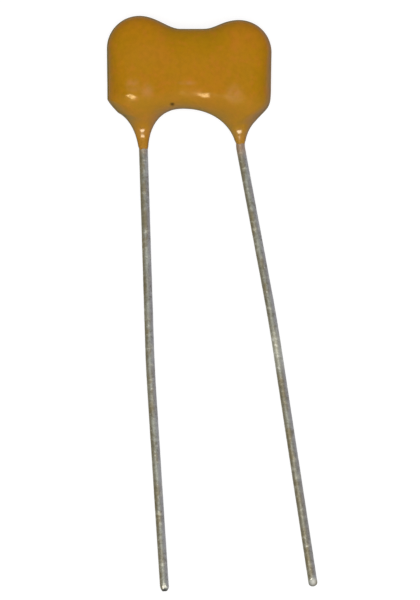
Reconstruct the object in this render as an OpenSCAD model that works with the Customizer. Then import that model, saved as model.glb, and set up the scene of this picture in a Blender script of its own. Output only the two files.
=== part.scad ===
// Dipped mica capacitor with two long wire leads, lying on the back of its coat.
// A stack of silvered mica plates and foils is held by a folded brass clamp at each end.
// A lead is welded to the back of each clamp, and a dipped resin coat covers the whole.
// Each piece is drawn in the upright frame: x across the leads, y up from the seating line
// where the leads leave the coat, and z towards the front, with the stack's middle at z = 0.

/* [Mica stack] */
// Length of a mica plate, from clamp to clamp
mica_len = 11.2; // [9:0.1:11.6]
// Height of a mica plate
mica_h = 5.2; // [4.6:0.1:6]
// Thickness of a silvered mica plate
mica_t = 0.08; // [0.05:0.01:0.12]
// Thickness of a plain mica cover
cover_t = 0.15; // [0.11:0.01:0.25]
// Thickness of a foil
foil_t = 0.05; // [0.03:0.01:0.08]
// Height of a foil
foil_h = 4.4; // [3:0.1:4.6]
// Distance by which the blind end of a foil stops short of the plate's end
foil_margin = 1.3; // [0.6:0.1:3]
// Length of a foil's fold over the front cover
foil_fold = 2.3; // [1:0.1:3]
// Radius inside the tightest bend of a folded foil
fold_r = 0.05; // [0.02:0.01:0.07]
// Height of the stack's lower edge above the seating line
stack_rise = 4.7; // [4.4:0.05:6]

/* [Clamps] */
// Thickness of the brass strip
clamp_t = 0.25; // [0.15:0.01:0.35]
// Height of a clamp
clamp_h = 5.9; // [5.4:0.1:6.2]
// Length of the clamp's walls, from its folded end towards the middle
clamp_wall = 3.4; // [2:0.1:4.5]
// Radius inside the clamp's two bends
clamp_bend = 0.12; // [0.05:0.01:0.2]

/* [Leads] */
// Diameter of the tinned wire
wire_d = 0.81; // [0.6:0.01:1]
// Distance between the leads where they leave the coat
lead_pitch = 8.7; // [7.8:0.1:9.4]
// Depth of the flat that the weld leaves on the wire
weld_flat = 0.08; // [0.04:0.01:0.15]
// Distance by which the end of a lead stands above the clamp's top edge
lead_over = 0.35; // [0:0.05:0.5]
// Radius of the bend just below the coat, at the wire's middle
exit_bend = 2; // [1:0.1:4]
// Radius of the slow bend partway down a lead
slow_bend = 150; // [60:5:250]
// Lean of the left lead below the coat, in degrees
left_lean_deg = 1.8; // [0.5:0.1:6]
// Further lean of the left lead below its slow bend, in degrees
left_turn_deg = 1.9; // [0.5:0.1:4]
// Length of the left lead's straight upper stretch
left_upper = 17; // [8:0.5:25]
// Length of the left lead's straight lower stretch
left_lower = 17.4; // [8:0.1:25]
// Lean of the right lead below the coat, in degrees
right_lean_deg = 10.6; // [4:0.1:15]
// Lean that the right lead loses below its slow bend, in degrees
right_turn_deg = 1.9; // [0.5:0.1:4]
// Length of the right lead's straight upper stretch
right_upper = 13; // [8:0.5:25]
// Length of the right lead's straight lower stretch
right_lower = 21.1; // [8:0.1:25]
// Width of the rounded edge that the cutter leaves on the left tip
left_tip_edge = 0.18; // [0.05:0.01:0.3]
// Slope of the cut across the right tip, which faces the front, in degrees
right_tip_deg = 42; // [20:1:60]

/* [Coat thickness] */
// Resin in front of the clamps
coat_front = 1.15; // [0.7:0.05:1.6]
// Resin behind the leads
coat_back = 0.9; // [0.5:0.05:1.4]
// Resin beyond the left clamp, at the corner
coat_left = 1.48; // [1.1:0.01:1.8]
// Resin beyond the right clamp, at the corner
coat_right = 1; // [0.8:0.01:1.4]
// Resin above the left clamp, at the top of its lobe
coat_left_top = 1.59; // [1.2:0.01:1.8]
// Resin above the right clamp, at the top of its lobe
coat_right_top = 1.22; // [1.1:0.01:1.5]
// Resin above the stack, at the saddle between the lobes
coat_saddle = 0.78; // [0.5:0.01:1.1]
// Resin below the stack, at the top of the arch
coat_arch = 1.2; // [0.8:0.01:1.4]
// Film of resin on the wire where the coat ends
coat_film = 0.05; // [0.03:0.01:0.1]
// Half the thickness that a neck may have where it begins to swell towards the body
neck_half = 0.75; // [0.7:0.01:0.9]
// Height above the seating line at which the necks begin to swell
swell_low = 0.4; // [0:0.05:1]
// Distance above the stack's lower edge at which the coat reaches its full thickness
swell_over = 0.5; // [0.2:0.05:1]
// Depth of the hollow between the clamps, on the front and on the back
waist_dip = 0.3; // [0:0.01:0.4]
// Half the length of the hollow at its full depth
waist_flat = 0.8; // [0:0.1:1.5]
// Length over which the hollow fades out towards a clamp
waist_fade = 3.3; // [2:0.1:4]

/* [Coat outline] */
// Height above the seating line at which the coat ends on the left lead
left_exit = -0.18; // [-0.6:0.01:0.4]
// Height above the seating line at which the coat ends on the right lead
right_exit = 0.3; // [-0.4:0.01:0.6]
// Radius of the lobes seen from the front
lobe_r = 2.95; // [2.6:0.01:3.2]
// Amount by which each side leans out from the corner to the lobe
side_lean = 0.05; // [0:0.01:0.2]
// Half the length of the straight part of the saddle
saddle_flat = 1.03; // [0.3:0.01:1.4]
// Distance from the left side in to the end of the left neck
left_corner_w = 1.03; // [0.8:0.01:1.6]
// Distance from the stack's lower edge down to the end of the left neck
left_corner_drop = 1.59; // [1.2:0.01:2]
// Distance from the stack's lower edge down to the foot of the left side
left_side_drop = 0.33; // [0:0.01:0.6]
// Distance from the right side in to the end of the right neck
right_corner_w = 1.59; // [1.2:0.01:1.8]
// Distance from the stack's lower edge down to the end of the right neck
right_corner_drop = 2.51; // [2.2:0.01:2.7]
// Distance from the stack's lower edge up to the foot of the right side
right_side_rise = 0.79; // [0.4:0.01:1.2]
// Distance from the middle of the part to the top of the arch, towards the left
arch_shift = 0.85; // [0:0.05:1]

/* [Hidden] */

// Numbers of plates and foils: a foil lies on both sides of every plate.
plate_n = 7;
foil_n = plate_n + 1;
folds_n = foil_n / 2;

// Round parts are drawn with this many sides.
wire_fn = 32;
bend_steps = 4;

// Heights and depths of the stack, the clamps and the leads.
wire_r = wire_d / 2;
stack_t = plate_n * mica_t + foil_n * foil_t + 2 * cover_t;
stack_front = stack_t / 2;
stack_mid_y = stack_rise + mica_h / 2;
fold_t = folds_n * foil_t;
end_x = mica_len / 2 + fold_r + fold_t;
clamp_front = stack_front + fold_t;
clamp_bottom = stack_mid_y - clamp_h / 2;
clamp_top = clamp_bottom + clamp_h;
pack_half = end_x + clamp_t;
lead_x = lead_pitch / 2;
lead_z = -stack_front - clamp_t - wire_r + weld_flat;
lead_top = clamp_top + lead_over;
right_cut_h = wire_d * tan(right_tip_deg);

// Middle and half thickness of the coat.
coat_front_z = clamp_front + clamp_t + coat_front;
coat_back_z = lead_z - wire_r - coat_back;
coat_mid_z = (coat_front_z + coat_back_z) / 2;
coat_half_t = (coat_front_z - coat_back_z) / 2;
film_r = wire_r + coat_film;

// A ball that is wider than the wire by a hair closes the joint after each bend.
bend_swell = 0.002;

// Pairs of values for the left side and the right side.
LEFT = 0;
RIGHT = 1;
exit_y = [left_exit, right_exit];
side_x = [pack_half + coat_left, pack_half + coat_right];
lobe_y = [clamp_top + coat_left_top, clamp_top + coat_right_top];
neck_end = [
    [side_x[LEFT] - left_corner_w, stack_rise - left_corner_drop],
    [side_x[RIGHT] - right_corner_w, stack_rise - right_corner_drop]];
side_foot = [stack_rise - left_side_drop, stack_rise + right_side_rise];
arch_x = [arch_shift, -arch_shift];
arch_y = stack_rise - coat_arch;
saddle_y = stack_rise + mica_h + coat_saddle;

// Handles of the curves: how long each curve follows the direction of its ends.
neck_rise = [0.42, 0.91];
neck_slope = [27.5, 48.8];
neck_reach = [1.58, 0.3];
corner_reach = [0.19, 2.12];
arch_rise = [2.04, 0.51];
arch_reach = [2.05, 3.83];
shoulder_reach = 1.35;
saddle_reach = 1.01;
lobe_sweep = 95;

// Numbers of sections in each stretch of the coat, and of points round a section.
neck_steps = 9;
corner_steps = 6;
side_steps = 5;
lobe_steps = 10;
shoulder_steps = 6;
saddle_steps = 2;
ring_steps = 32;
// Share of the arch curve that belongs to the neck.
neck_share = 0.47;
// Sharpness of the change from a neck as thick as it is wide to the flat body.
blend_power = 6;
// Fullness of the flat body's edge against that of an ellipse.
fullness = 1.2;

function dir(a) = [cos(a), sin(a)];

function bezier(p, t) = pow(1 - t, 3) * p[0] + 3 * t * pow(1 - t, 2) * p[1]
    + 3 * t * t * (1 - t) * p[2] + pow(t, 3) * p[3];

function arc(mid, r, from, to) =
    [for (k = [0:bend_steps]) mid + r * dir(from + (to - from) * k / bend_steps)];

function stretch(p, steps) = [for (k = [1:steps]) bezier(p, k / steps)];

function smooth(t) = t <= 0 ? 0 : t >= 1 ? 1 : t * t * (3 - 2 * t);

// The outline of one side in its own frame, with x pointing away from the middle.
// It runs from the neck's end on the wire up the outside and over the lobe to the saddle.
function neck_curve(s) = let (
        a = [lead_x + film_r, exit_y[s]],
        b = neck_end[s])
    [a, a + [0, neck_rise[s]], b - neck_reach[s] * dir(neck_slope[s]), b];

function corner_curve(s) = let (
        a = neck_end[s],
        b = [side_x[s], side_foot[s]])
    [a, a + corner_reach[s] * dir(neck_slope[s]), b - [0, corner_reach[s]], b];

function lobe_mid(s) = [side_x[s] + side_lean - lobe_r, lobe_y[s] - lobe_r];

function shoulder_curve(s) = let (
        a = lobe_mid(s) + lobe_r * dir(lobe_sweep),
        b = [saddle_flat, saddle_y])
    [a, a + shoulder_reach * [-sin(lobe_sweep), cos(lobe_sweep)], b + [saddle_reach, 0], b];

function outer_body(s) = let (
        foot = [side_x[s], side_foot[s]],
        head = lobe_mid(s) + [lobe_r, 0])
    concat(
        stretch(corner_curve(s), corner_steps),
        [for (k = [1:side_steps]) foot + (head - foot) * k / side_steps],
        [for (k = [1:lobe_steps]) lobe_mid(s) + lobe_r * dir(lobe_sweep * k / lobe_steps)],
        stretch(shoulder_curve(s), shoulder_steps),
        [for (k = [1:saddle_steps]) [saddle_flat * (1 - k / saddle_steps), saddle_y]]);

function arch_curve(s) = let (
        a = [lead_x - film_r, exit_y[s]],
        b = [arch_x[s], arch_y])
    [a, a + [0, arch_rise[s]], b + [arch_reach[s], 0], b];

// Pairs of an outer and an inner point, one pair for each section of a side.
function side_pairs(s) = let (
        body = outer_body(s),
        n = len(body))
    concat(
        [for (k = [0:neck_steps]) let (t = k / neck_steps)
            [bezier(neck_curve(s), t), bezier(arch_curve(s), t * neck_share)]],
        [for (k = [1:n]) let (t = neck_share + (1 - neck_share) * k / n)
            [body[k - 1], bezier(arch_curve(s), t)]]);

function flip_pair(p) = [[-p[0][0], p[0][1]], [-p[1][0], p[1][1]]];

function all_pairs() = let (
        left = side_pairs(LEFT),
        right = side_pairs(RIGHT))
    concat([for (p = left) flip_pair(p)], [for (k = [len(right) - 2:-1:0]) right[k]]);

// Half the thickness that the coat may have at height y.
function room(y) = neck_half
    + (coat_half_t - neck_half) * smooth((y - swell_low) / (stack_rise + swell_over - swell_low));

// Half the thickness of a section that is 2 * a wide: as thick as it is wide in a neck,
// and as thick as the room allows in the body.
function section_half(a, t) = 1 / pow(pow(a, -blend_power) + pow(t, -blend_power), 1 / blend_power);

// The hollow between the clamps, at a distance x from the middle.
function hollow(x) = waist_dip * (1 - smooth((abs(x) - waist_flat) / waist_fade));

// The middle of the coat moves from the wire to the stack as the coat swells.
function skin_mid(half) = lead_z
    + (coat_mid_z - lead_z) * smooth((half - film_r) / (coat_half_t - film_r));

function power(v, e) = sign(v) * pow(abs(v), e);

// One section of the coat: a rounded loop from the outer point through the front
// to the inner point and back behind.
function section(pair) = let (
        mid = (pair[0] + pair[1]) / 2,
        half = (pair[0] - pair[1]) / 2,
        a = norm(half),
        e = 2 / (2 + fullness * max(0, a / section_half(a, coat_half_t) - 1)))
    [for (k = [0:ring_steps - 1]) let (
            q = 360 * k / ring_steps,
            p = mid + half * power(cos(q), e),
            swell = section_half(a, room(p[1])))
        [p[0], p[1], skin_mid(swell) + (swell - hollow(p[0])) * power(sin(q), e)]];

COAT_RINGS = [for (p = all_pairs()) section(p)];

function ring_mid(r) = [for (i = [0:2]) (r[0][i] + r[ring_steps / 2][i]) / 2];

module coat_skin() {
    rings = len(COAT_RINGS);
    m = ring_steps;
    points = concat([for (r = COAT_RINGS) each r],
        [ring_mid(COAT_RINGS[0]), ring_mid(COAT_RINGS[rings - 1])]);
    skin = [for (i = [0:rings - 2], k = [0:m - 1]) let (
            a = i * m + k,
            b = i * m + (k + 1) % m)
        each [[a, a + m, b], [b, a + m, b + m]]];
    first_cap = [for (k = [0:m - 1]) [k, (k + 1) % m, rings * m]];
    last_cap = [for (k = [0:m - 1]) let (base = (rings - 1) * m)
        [base + (k + 1) % m, base + k, rings * m + 1]];
    polyhedron(points, concat(skin, first_cap, last_cap), convexity = 8);
}

// The strip round the end at +x: two walls and the folded end, with rounded bends.
module clamp_profile() {
    back = -stack_front;
    outer_r = clamp_bend + clamp_t;
    inner_x = pack_half - clamp_wall;
    front_mid = [end_x - clamp_bend, clamp_front - clamp_bend];
    back_mid = [end_x - clamp_bend, back + clamp_bend];
    polygon(concat(
        [[inner_x, back - clamp_t]],
        arc(back_mid, outer_r, 270, 360),
        arc(front_mid, outer_r, 0, 90),
        [[inner_x, clamp_front + clamp_t], [inner_x, clamp_front]],
        arc(front_mid, clamp_bend, 90, 0),
        arc(back_mid, clamp_bend, 360, 270),
        [[inner_x, back]]));
}

// Turns a profile drawn across x and z into a solid that is h high along y from y = 0.
module along_y(h) {
    translate([0, h, 0]) rotate([90, 0, 0]) linear_extrude(h) children();
}

module clamp_strip() {
    translate([0, clamp_bottom, 0]) along_y(clamp_h) clamp_profile();
}

// The middle height of foil i, counted from the back, and of plate i behind it.
function foil_z(i) = -stack_front + cover_t + (i - 0.5) * foil_t + (i - 1) * mica_t;
function plate_z(i) = foil_z(i) + (foil_t + mica_t) / 2;

// A foil whose folded end is at +x. It leaves the stack, turns up past the plates' ends
// and lies back over the front cover. Fold j = 0 is the innermost of the nested folds.
module foil_profile(z, j) {
    low = z - foil_t / 2;
    r_in = fold_r + j * foil_t;
    r_out = r_in + foil_t;
    wall_x = mica_len / 2 + r_in;
    turn = [mica_len / 2, stack_front - fold_r];
    foot = [wall_x - fold_r, low + foil_t + fold_r];
    polygon(concat(
        [[foil_margin - mica_len / 2, low]],
        arc(foot, fold_r + foil_t, 270, 360),
        arc(turn, r_out, 0, 90),
        [[turn[0] - foil_fold, turn[1] + r_out], [turn[0] - foil_fold, turn[1] + r_in]],
        arc(turn, r_in, 90, 0),
        arc(foot, fold_r, 360, 270),
        [[foil_margin - mica_len / 2, low + foil_t]]));
}

// Odd foils fold round the left end and even foils round the right end.
module foil(i) {
    z = foil_z(i);
    j = folds_n - ceil(i / 2);
    color("lightgray")
        translate([0, stack_mid_y - foil_h / 2, 0])
            mirror([i % 2, 0, 0])
                along_y(foil_h) foil_profile(z, j);
}

module mica_sheet(z, t) {
    translate([-mica_len / 2, stack_rise, z - t / 2]) cube([mica_len, mica_h, t]);
}

module mica_plate(i) {
    color("whitesmoke") mica_sheet(plate_z(i), mica_t);
}

module front_cover() {
    color("beige") mica_sheet(stack_front - cover_t / 2, cover_t);
}

module back_cover() {
    color("beige") mica_sheet(cover_t / 2 - stack_front, cover_t);
}

module wire(len) {
    rotate([90, 0, 0]) cylinder(h = len, r = wire_r, $fn = wire_fn);
}

// A bend that starts straight down and turns by angle a towards +x, or towards -x if a < 0.
module wire_bend(a, r) {
    mirror([a < 0 ? 1 : 0, 0, 0])
        translate([r, 0, 0]) rotate([0, 0, 180])
            rotate_extrude(angle = abs(a), $fn = 360)
                translate([r, 0]) circle(r = wire_r, $fn = wire_fn);
}

module bend_ball() {
    sphere(r = wire_r + bend_swell, $fn = wire_fn);
}

// Moves what follows to the end of such a bend.
module after_bend(a, r) {
    s = sign(a);
    translate([s * r * (1 - cos(a)), -r * sin(abs(a)), 0]) rotate([0, 0, a]) children();
}

// The stretch of a lead inside the coat, with the flat that the weld pressed on it.
module lead_root(s) {
    x = s == LEFT ? -lead_x : lead_x;
    difference() {
        translate([x, lead_top, lead_z]) wire(lead_top - exit_y[s]);
        translate([x - wire_r, clamp_bottom, lead_z + wire_r - weld_flat])
            cube([wire_d, lead_top - clamp_bottom + wire_r, wire_r]);
    }
}

module lead_tail(s, lean, turn, upper, lower) {
    x = s == LEFT ? -lead_x : lead_x;
    translate([x, exit_y[s], lead_z]) {
        wire_bend(lean, exit_bend);
        after_bend(lean, exit_bend) {
            bend_ball();
            wire(upper);
            translate([0, -upper, 0]) {
                wire_bend(turn, slow_bend);
                after_bend(turn, slow_bend) {
                    bend_ball();
                    wire(lower);
                    translate([0, -lower, 0]) children();
                }
            }
        }
    }
}

module clamp(s) {
    color("goldenrod") mirror([s == LEFT ? 1 : 0, 0, 0]) clamp_strip();
}

module left_tip() {
    rotate([90, 0, 0])
        cylinder(h = left_tip_edge, r1 = wire_r, r2 = wire_r - left_tip_edge, $fn = wire_fn);
}

module right_tip() {
    difference() {
        wire(right_cut_h);
        translate([0, 0, wire_r]) rotate([-right_tip_deg, 0, 0])
            translate([-wire_d, -2 * wire_d, -3 * wire_d]) cube([2 * wire_d, 2 * wire_d, 4 * wire_d]);
    }
}

module left_lead() {
    color("silver") {
        lead_root(LEFT);
        lead_tail(LEFT, left_lean_deg, left_turn_deg, left_upper, left_lower) left_tip();
    }
}

module right_lead() {
    color("silver") {
        lead_root(RIGHT);
        lead_tail(RIGHT, right_lean_deg, -right_turn_deg, right_upper, right_lower) right_tip();
    }
}

// The space that the stack, its folded foils and its clamps leave in the coat.
module pack_space() {
    translate([-mica_len / 2, stack_rise, -stack_front]) cube([mica_len, mica_h, stack_t]);
    for (s = [LEFT, RIGHT]) mirror([s == LEFT ? 1 : 0, 0, 0]) {
        clamp_strip();
        translate([mica_len / 2 - foil_fold, stack_rise, -stack_front])
            cube([end_x - mica_len / 2 + foil_fold, mica_h, stack_t + fold_t]);
    }
}

module coating() {
    color([0.67, 0.46, 0.09]) difference() {
        coat_skin();
        pack_space();
        lead_root(LEFT);
        lead_root(RIGHT);
    }
}

// The part lies on the back of its coat and on the tips of its leads.
LEFT_TIP = tip_point(LEFT, left_lean_deg, left_turn_deg, left_upper, left_lower + left_tip_edge);
RIGHT_TIP = tip_point(RIGHT, right_lean_deg, -right_turn_deg, right_upper, right_lower + right_cut_h);

function bend_end(a, r) = [sign(a) * r * (1 - cos(a)), -r * sin(abs(a))];

function down(a) = [sin(a), -cos(a)];

function turned(p, a) = [p[0] * cos(a) - p[1] * sin(a), p[0] * sin(a) + p[1] * cos(a)];

function tip_point(s, lean, turn, upper, lower) =
    [s == LEFT ? -lead_x : lead_x, exit_y[s]] + bend_end(lean, exit_bend) + upper * down(lean)
    + turned(bend_end(turn, slow_bend), lean) + lower * down(lean + turn);

tip_y = min(LEFT_TIP[1], RIGHT_TIP[1]);
COAT_POINTS = [for (r = COAT_RINGS) each r];
rest_tilt = max([for (p = COAT_POINTS) atan2(lead_z - wire_r - p[2], p[1] - tip_y)]);

function tilted(p) = [p[0], p[1] * cos(rest_tilt) - p[2] * sin(rest_tilt),
    p[1] * sin(rest_tilt) + p[2] * cos(rest_tilt)];

TILTED = [for (p = COAT_POINTS) tilted(p)];
floor_z = min([for (p = TILTED) p[2]]);
top_y = max([for (p = TILTED) p[1]]);
low_y = tilted([0, tip_y, lead_z])[1];
left_end = min([for (p = COAT_POINTS) p[0]]);
right_end = max(RIGHT_TIP[0] + wire_r, max([for (p = COAT_POINTS) p[0]]));

module lying() {
    translate([-(left_end + right_end) / 2, -(top_y + low_y) / 2, -floor_z])
        rotate([rest_tilt, 0, 0]) children();
}

lying() coating();
lying() clamp(LEFT);  // left_clamp
lying() clamp(RIGHT);  // right_clamp
lying() left_lead();
lying() right_lead();
lying() front_cover();
lying() back_cover();
lying() mica_plate(1);  // mica_plate_1
lying() mica_plate(2);  // mica_plate_2
lying() mica_plate(3);  // mica_plate_3
lying() mica_plate(4);  // mica_plate_4
lying() mica_plate(5);  // mica_plate_5
lying() mica_plate(6);  // mica_plate_6
lying() mica_plate(7);  // mica_plate_7
lying() foil(1);  // foil_1
lying() foil(2);  // foil_2
lying() foil(3);  // foil_3
lying() foil(4);  // foil_4
lying() foil(5);  // foil_5
lying() foil(6);  // foil_6
lying() foil(7);  // foil_7
lying() foil(8);  // foil_8
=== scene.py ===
# %% [markdown]
# # A dipped mica capacitor
#
# The real part is a little stack of mica plates and foils, squeezed by a brass clamp at each
# end. A tinned wire is welded to each clamp, and the whole stack is dipped in ochre resin.
# What shows is the resin coat, with its two lobes, and the two dull wires below it.
#
# The packed CAD model is loaded first as a fixed frame. It says where everything is, so each
# detailed piece below is made on top of it and then takes the place of its plain node.

# %% Load the frame
import math

import bpy
import numpy as np
from mathutils import Matrix, Vector, noise


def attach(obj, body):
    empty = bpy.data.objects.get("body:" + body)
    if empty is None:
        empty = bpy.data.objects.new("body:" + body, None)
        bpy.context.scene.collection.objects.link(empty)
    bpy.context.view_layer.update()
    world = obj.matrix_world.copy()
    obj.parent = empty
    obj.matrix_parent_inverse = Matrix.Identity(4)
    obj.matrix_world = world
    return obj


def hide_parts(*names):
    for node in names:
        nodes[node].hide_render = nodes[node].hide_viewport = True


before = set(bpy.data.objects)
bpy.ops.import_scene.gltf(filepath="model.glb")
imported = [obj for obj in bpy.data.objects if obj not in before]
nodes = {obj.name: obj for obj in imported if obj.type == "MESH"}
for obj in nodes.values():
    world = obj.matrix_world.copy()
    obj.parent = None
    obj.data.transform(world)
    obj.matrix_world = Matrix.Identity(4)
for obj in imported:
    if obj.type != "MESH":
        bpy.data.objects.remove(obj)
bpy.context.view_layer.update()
# A millimetre in metres
MM = 0.001


# %% [markdown]
# ## The upright frame
#
# The part was designed upright: x across the leads, y up from the line where the leads leave
# the coat, z towards the front, in millimetres. It lies on its back, so the packed model is
# that design turned by a degree or so and moved. The turn could be copied by hand from the
# CAD source, but then it would be wrong after each change there. The middle mica plate is a
# plain box whose place in the design is known, so its corners are measured instead.

# %% Find the upright frame
# Height of a mica plate, and of the stack's lower edge above the line where the leads come out
MICA_H = 5.2
STACK_RISE = 4.7
plate_points = np.array([v.co for v in nodes["mica_plate_4"].data.vertices])
plate_mid = Vector((plate_points.min(axis=0) + plate_points.max(axis=0)) / 2)
plate_top = plate_points[plate_points[:, 1] > plate_mid.y].mean(axis=0)
plate_foot = plate_points[plate_points[:, 1] < plate_mid.y].mean(axis=0)
rise = plate_top - plate_foot
tilt = math.atan2(rise[2], rise[1])
upright = (Matrix.Translation(plate_mid) @ Matrix.Rotation(tilt, 4, "X")
           @ Matrix.Translation(Vector((0, -(STACK_RISE + MICA_H / 2) * MM, 0))))
print("tilt in degrees:", round(math.degrees(tilt), 3))

# %% [markdown]
# ## A helper for meshes
#
# The coat and the wires are long forms whose section changes all the way. A curve with a bevel
# would give a wire but not its cut ends, and a cage drawn by hand for a subdivision surface
# would drift from the CAD. So both are skins stretched over a row of rings. One helper joins
# the rings with faces, closes both ends, and turns the points from the upright frame to where
# the model lies.

# %% Mesh helper
def skin_object(name, rings, flat_last=0):
    """Makes a closed tube from rings of points in mm, given as an array of ring, point, xyz."""
    count, around, _ = rings.shape
    faces = []
    for i in range(count - 1):
        a, b = i * around, (i + 1) * around
        for k in range(around):
            n = (k + 1) % around
            faces.append((a + k, b + k, b + n, a + n))
    smooth_faces = len(faces) - flat_last * around
    first, last, base = count * around, count * around + 1, (count - 1) * around
    for k in range(around):
        n = (k + 1) % around
        faces.append((k, n, first))
        faces.append((base + n, base + k, last))
    points = np.vstack([rings.reshape(-1, 3), rings[[0, -1]].mean(axis=1)])
    mesh = bpy.data.meshes.new(name)
    mesh.from_pydata((points * MM).tolist(), [], faces)
    mesh.transform(upright)
    mesh.polygons.foreach_set("use_smooth", [i < smooth_faces for i in range(len(faces))])
    mesh.update()
    made = bpy.data.objects.new(name, mesh)
    bpy.context.scene.collection.objects.link(made)
    print(name, "points:", len(points), "faces:", len(faces))
    return made

# %% [markdown]
# ## The shape of the coat
#
# The coat is made by dipping, and gravity and surface tension shape it. It is thickest over
# the clamps, where it makes two lobes, and it sags into an arch between the leads. Down each
# wire it thins into a meniscus. Such a form could be sculpted, or melted together from
# metaballs, but here it has to follow the CAD, so it is computed from the same numbers.
#
# The outline of each side is a few smooth curves, from the neck on the wire, up the outside
# and over the lobe to the saddle. An inner curve follows the arch. Each section of the coat
# joins a point of the outer curve to one of the inner curve. Below the stack there is less
# inside to cover, so the coat thins towards the wires there, and it is a little hollow
# between the two clamps. There are more sections here than in the CAD source, so that the
# gloss runs without facets.

# %% Measures of the leads
LEFT, RIGHT = 0, 1
# Half the thickness of a wire, and of the film of resin that ends on it
WIRE_R, FILM_R = 0.405, 0.455
# Each wire's distance from the middle, its depth, and the height at which the coat ends on it
LEAD_X, LEAD_Z = 4.35, -1.205
EXIT_Y = (-0.18, 0.3)
WIRE_X = (-LEAD_X, LEAD_X)
FILM_ENDS = [(WIRE_X[s], EXIT_Y[s], LEAD_Z) for s in (LEFT, RIGHT)]
print("the coat ends on the wires at", FILM_ENDS)

# %% Curves
def heading(degrees):
    """The direction that many degrees up from the line to the right."""
    a = math.radians(degrees)
    return np.array([math.cos(a), math.sin(a)])


def bezier(start, after, before, end, t):
    """Points of a curve that leaves its start towards one handle and arrives from the other."""
    t = np.asarray(t)[:, None]
    return ((1 - t) ** 3 * start + 3 * t * (1 - t) ** 2 * after
            + 3 * t * t * (1 - t) * before + t ** 3 * end)


def steps(n):
    """The shares 1/n, 2/n and so on up to 1."""
    return np.arange(1, n + 1) / n


def smooth(t):
    """Rises from 0 to 1 with a soft start and a soft end."""
    t = np.clip(t, 0, 1)
    return t * t * (3 - 2 * t)


print("four steps:", steps(4), "made smooth:", smooth(steps(4)))

# %% Outside of one side
# Reach of each side, top of each lobe, where the neck's curve ends and the straight side begins
SIDE_X, LOBE_Y = (7.58, 7.1), (11.84, 11.47)
NECK_END = ((6.55, 3.11), (5.51, 2.19))
SIDE_FOOT = (4.37, 5.49)
# Radius of the lobe, the angle its arc covers, and how far the side leans out below it
LOBE_R, LOBE_SWEEP, SIDE_LEAN = 2.95, 95, 0.05
# Height of the saddle between the lobes, and half the width of its level middle
SADDLE_Y, SADDLE_FLAT = 10.68, 1.03
# Angle of the outline where neck and body meet, and the length of the curves' handles
NECK_SLOPE = (27.5, 48.8)
CORNER_REACH = (0.19, 2.12)
SHOULDER_REACH, SADDLE_REACH = 1.35, 1.01
RIGHT_ANGLE = 90
# Sections on each stretch in the CAD source, and how many times as many there are here
CORNER_STEPS, SIDE_STEPS, LOBE_STEPS, SHOULDER_STEPS, SADDLE_STEPS = 6, 5, 10, 6, 2
FINE = 6


def outer_body(s):
    """Points up the outside of one side, from the neck's end to the middle of the saddle."""
    neck_end, foot = np.array(NECK_END[s]), np.array([SIDE_X[s], SIDE_FOOT[s]])
    mid = np.array([SIDE_X[s] + SIDE_LEAN - LOBE_R, LOBE_Y[s] - LOBE_R])
    head, flat_end = mid + [LOBE_R, 0], np.array([SADDLE_FLAT, SADDLE_Y])
    corner = bezier(neck_end, neck_end + CORNER_REACH[s] * heading(NECK_SLOPE[s]),
                    foot - [0, CORNER_REACH[s]], foot, steps(CORNER_STEPS * FINE))
    side = foot + (head - foot) * steps(SIDE_STEPS * FINE)[:, None]
    lobe = np.array([mid + LOBE_R * heading(LOBE_SWEEP * t) for t in steps(LOBE_STEPS * FINE)])
    off_lobe = SHOULDER_REACH * heading(LOBE_SWEEP + RIGHT_ANGLE)
    shoulder = bezier(lobe[-1], lobe[-1] + off_lobe,
                      flat_end + [SADDLE_REACH, 0], flat_end, steps(SHOULDER_STEPS * FINE))
    saddle = np.array([[SADDLE_FLAT * (1 - t), SADDLE_Y] for t in steps(SADDLE_STEPS * FINE)])
    return np.vstack([corner, side, lobe, shoulder, saddle])


print("points up the outside of each side:", len(outer_body(LEFT)), len(outer_body(RIGHT)))

# %% Neck and arch of one side
# Top of the arch as seen from each side, and the handles of the neck's and the arch's curve
ARCH_X, ARCH_Y = (0.85, -0.85), 3.5
NECK_RISE, NECK_REACH = (0.42, 0.91), (1.58, 0.3)
ARCH_RISE, ARCH_REACH = (2.04, 0.51), (2.05, 3.83)
# Share of the arch's curve that lies across from the neck, and the sections on the neck
NECK_SHARE, NECK_STEPS = 0.47, 9


def side_pairs(s):
    """Matching points of the outer and the inner curve of one side, neck first."""
    exit_out = np.array([LEAD_X + FILM_R, EXIT_Y[s]])
    exit_in = np.array([LEAD_X - FILM_R, EXIT_Y[s]])
    neck_end, arch_top = np.array(NECK_END[s]), np.array([ARCH_X[s], ARCH_Y])
    neck_t = np.concatenate([[0], steps(NECK_STEPS * FINE)])
    neck = bezier(exit_out, exit_out + [0, NECK_RISE[s]],
                  neck_end - NECK_REACH[s] * heading(NECK_SLOPE[s]), neck_end, neck_t)
    body = outer_body(s)
    arch_t = np.concatenate([neck_t * NECK_SHARE,
                             NECK_SHARE + (1 - NECK_SHARE) * steps(len(body))])
    arch = bezier(exit_in, exit_in + [0, ARCH_RISE[s]],
                  arch_top + [ARCH_REACH[s], 0], arch_top, arch_t)
    return np.vstack([neck, body]), arch


print("pairs of points on each side:", len(side_pairs(LEFT)[0]), len(side_pairs(RIGHT)[0]))

# %% Thickness of the coat
# Depth of the body's middle and half its thickness, and half the thickness at the necks
COAT_MID_Z, COAT_HALF_T = -0.14, 2.37
NECK_HALF = 0.75
# Heights between which the coat swells from the one to the other
SWELL_LOW, SWELL_HIGH = 0.4, STACK_RISE + 0.5
# How sharply a section turns from as thick as it is wide to as thick as the room allows
BLEND_POWER = 6


def room(y):
    """Half the thickness that the coat may have at a height y."""
    share = smooth((y - SWELL_LOW) / (SWELL_HIGH - SWELL_LOW))
    return NECK_HALF + (COAT_HALF_T - NECK_HALF) * share


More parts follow.
